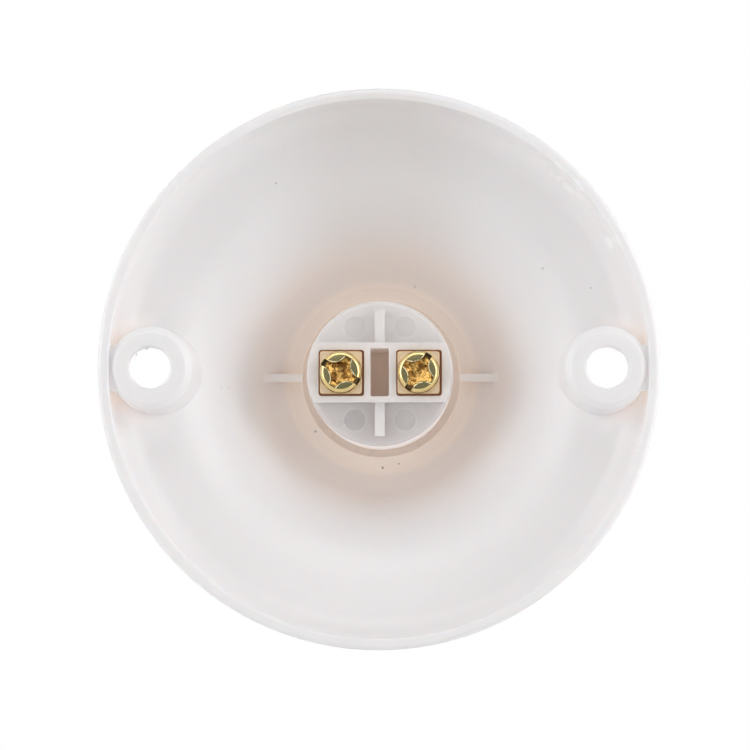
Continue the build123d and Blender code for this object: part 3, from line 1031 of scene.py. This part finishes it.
# %% Sheet and rivet brass
def brass(name, bright, dull, roughness, grain_scale, grain_stretch=(1, 1, 1)):
    """Brass between a bright and a dull tone, with a fine grain."""
    finish = Finish(name)
    cloud = finish.noise(420.0, detail=4.0)
    grain = finish.noise(grain_scale, detail=3.0, stretch=grain_stretch)
    finish.surface(
        Base_Color=finish.mix(cloud, bright, dull), Metallic=1.0,
        Roughness=roughness + (cloud - 0.5) * 0.12 + (grain - 0.5) * 0.1,
        Normal=finish.bump(grain, 0.004),
    )
    return finish


clamp_brass = brass("stamped_brass", (1.0, 0.80, 0.56), (0.92, 0.68, 0.43), 0.36, 900.0, (1, 1, 6))
sheet_brass = brass("rolled_brass", (0.87, 0.70, 0.40), (0.78, 0.58, 0.30), 0.27, 900.0, (1, 1, 5))
spring_brass = brass("contact_brass", (0.84, 0.69, 0.44), (0.74, 0.56, 0.32), 0.3, 900.0, (5, 1, 1))
rivet_brass = brass("rivet_brass", (0.88, 0.70, 0.38), (0.76, 0.56, 0.26), 0.22, 2000.0)
wear(clamp_brass, *clamps.values())
wear(sheet_brass, thread_shell)
wear(spring_brass, centre_contact, side_contact)
wear(rivet_brass, *rivets)

# %% [markdown]
# The screws are bright turned brass. The pressed recess is lumpy, with painted
# shade and dark reflections in it. The notches that the slot leaves beside it
# have painted dark shade, and painted highlights run along the edges of the
# petals in places. All of this turns with the screw's own slot, so each screw
# has its own finish.

# %% Screw brass
petal_x = petal_reach * math.cos(math.pi / 4) * mm


def recessed_brass(side, centre_x):
    """A screw's brass, with its marks laid out along the screw's slot and cross."""
    finish = Finish(f"turned_brass_{side}")
    turn = math.radians(screw_angles[side])
    dx, dz = finish.x - centre_x * mm, finish.z
    along = (dx * math.cos(turn) + dz * math.sin(turn)).magnitude()
    aside = (dz * math.cos(turn) - dx * math.sin(turn)).magnitude()
    from_screw = along.hypotenuse(aside)
    from_petal = (along - petal_x).hypotenuse(aside - petal_x)
    sunk = finish.depth - crown_depth * mm
    cloud, lumps = finish.noise(420.0, detail=4.0), finish.noise(950.0)
    recess = finish.rise(sunk, 0.2, 0.55) * finish.fall(from_screw, 2.65, 2.85)
    notch_shade = finish.rise(sunk, 0.7, 0.8) * finish.fall(sunk, 1.05, 1.15) * finish.rise(from_screw, 2.5, 2.7)
    # painted highlight along the petals' edges
    edge = finish.rise(from_petal, petal_r - 0.08, petal_r - 0.02)
    edge = edge * finish.fall(from_petal, petal_r + 0.02, petal_r + 0.08)
    edge = edge * finish.fall(from_screw, 2.75, 2.9) * finish.fall(sunk, 0.3, 0.5)
    edge = edge * finish.step(finish.noise(1300.0), 0.38, 0.60, 0.1, 0.95)
    tone = finish.mix(cloud, (0.93, 0.76, 0.38), (0.82, 0.62, 0.25))
    # painted shade and dark reflections in the lumpy recess
    recess_shade = finish.mix(finish.step(lumps, 0.40, 0.60), (0.17, 0.08, 0.02), (0.56, 0.34, 0.10))
    tone = finish.mix(recess, tone, recess_shade)
    # painted dark shade in the notches beside the recess
    tone = finish.mix(notch_shade * 0.9, tone, (0.12, 0.06, 0.02))
    # painted highlight on the petals' edges
    tone = finish.mix(edge, tone, (0.98, 0.88, 0.58))
    finish.surface(
        Base_Color=tone, Metallic=1.0,
        Roughness=0.16 + (cloud - 0.5) * 0.1 + recess * 0.1 + edge * 0.55,
        Normal=finish.bump(finish.noise(2500.0, detail=3.0) * 0.004 + lumps * recess * 0.6, 1.0),
    )
    return finish


wear(recessed_brass("left", terminal_x), screws["left"])
wear(recessed_brass("right", -terminal_x), screws["right"])

# %% [markdown]
# ## Floor, light and camera
#
# The photograph has a pure white ground, so the world is white where the camera,
# a reflection or glass sees it, and dim as a light. The floor is white to the
# camera in the same way, and pale as a reflector.

# %% World and floor
world = bpy.data.worlds.new("studio")
bpy.context.scene.world = world
world.use_nodes = True
sky = NodeTree(world.node_tree)
seen_from = [
    sky.node("ShaderNodeLightPath", output=f"Is {kind} Ray")
    for kind in ("Camera", "Glossy", "Transmission")
]
seen = seen_from[0].largest(seen_from[1].largest(seen_from[2]))
as_light, as_background = 0.05, 1.0
background = sky.tree.nodes["Background"]
background.inputs["Color"].default_value = (1, 1, 1, 1)
sky.feed(background.inputs["Strength"], sky.step(seen, 0.0, 1.0, as_light, as_background))

floor_size, floor_height = 0.8, -0.16
bm = bmesh.new()
bmesh.ops.create_grid(bm, x_segments=1, y_segments=1, size=floor_size)
bmesh.ops.translate(bm, verts=bm.verts, vec=(0, 0, floor_height))
floor = new_piece("floor", bm)
floor_finish = Finish("pale_floor")
floor_finish.surface(Base_Color=(0.9, 0.9, 0.9, 1), Roughness=0.6)
seen_by_camera = floor_finish.node("ShaderNodeLightPath", output="Is Camera Ray")
reflector = Signal(floor_finish, floor_finish.shader.outputs[0])
white_paper = floor_finish.node("ShaderNodeEmission")
blend = floor_finish.node("ShaderNodeMixShader", None, {0: seen_by_camera, 1: reflector, 2: white_paper})
floor_finish.feed(floor_finish.tree.nodes["Material Output"].inputs["Surface"], blend)
wear(floor_finish, floor)

# %% [markdown]
# Large soft lamps stand at both sides, which fill the bell evenly, and weaker
# ones hang above and stand beside the camera. One more lights the lamp side.

# %% Lamps
def aim(thing, place, target):
    """Puts a lamp or camera at a place and turns it to a target."""
    thing.location = place
    thing.rotation_euler = (Vector(target) - Vector(place)).to_track_quat("-Z", "Y").to_euler()


def soft_lamp(name, place, size, power, target=(0, -0.01, 0)):
    """A square area lamp, its size in metres and its power in watts."""
    light = bpy.data.lights.new(name, "AREA")
    light.shape = "SQUARE"
    light.size, light.energy = size, power
    lamp = bpy.data.objects.new(name, light)
    bpy.context.scene.collection.objects.link(lamp)
    aim(lamp, place, target)
    print(name, power, "W at", place)


soft_lamp("overhead", (0.0, 0.25, 0.62), 0.7, 2.0)
soft_lamp("front_left", (0.40, 0.55, 0.10), 0.5, 0.5)
soft_lamp("front_right", (-0.40, 0.55, 0.10), 0.5, 0.36)
soft_lamp("side_left", (0.62, 0.22, 0.12), 0.6, 2.5)
soft_lamp("side_right", (-0.62, 0.22, 0.12), 0.6, 3.05)
soft_lamp("lamp_side", (0.0, -0.55, 0.10), 0.6, 2.2)

# %% [markdown]
# The camera looks straight into the bell, from a little below and nearly half
# a metre away, with a long lens.

# %% Camera
camera_place = Vector((-7.0, 449.0, -28.3)) * mm
camera_target = Vector((0.54, 0.0, -1.21)) * mm
camera = bpy.data.objects.new("camera", bpy.data.cameras.new("camera"))
bpy.context.scene.collection.objects.link(camera)
camera.data.lens, camera.data.sensor_width = 135.3, 36.0
camera.data.clip_start = 0.01
aim(camera, camera_place, camera_target)
bpy.context.scene.camera = camera
bpy.context.scene.view_settings.view_transform = "Standard"
print("camera at", [round(v, 4) for v in camera_place])

# %% [markdown]
# The card isn't seen by the camera and throws no shadow. Only shiny surfaces
# show it, as the dark part of the photographer's room.

# %% Dark card round the camera
card_r, card_offset = 0.13, 0.02
bm = bmesh.new()
bmesh.ops.create_circle(bm, cap_ends=True, segments=48, radius=card_r)
bmesh.ops.rotate(bm, verts=bm.verts, cent=(0, 0, 0), matrix=Matrix.Rotation(math.radians(90), 3, "X"))
bmesh.ops.translate(bm, verts=bm.verts, vec=camera_place + Vector((0, card_offset, 0)))
card = new_piece("dark_card", bm)
card_finish = Finish("dark_card")
card_finish.surface(
    Base_Color=(0.02, 0.02, 0.02, 1), Roughness=0.9,
    Emission_Color=(0.10, 0.13, 0.15, 1), Emission_Strength=1.0,
)
wear(card_finish, card)
card.visible_camera = False
card.visible_shadow = False
card.visible_diffuse = False
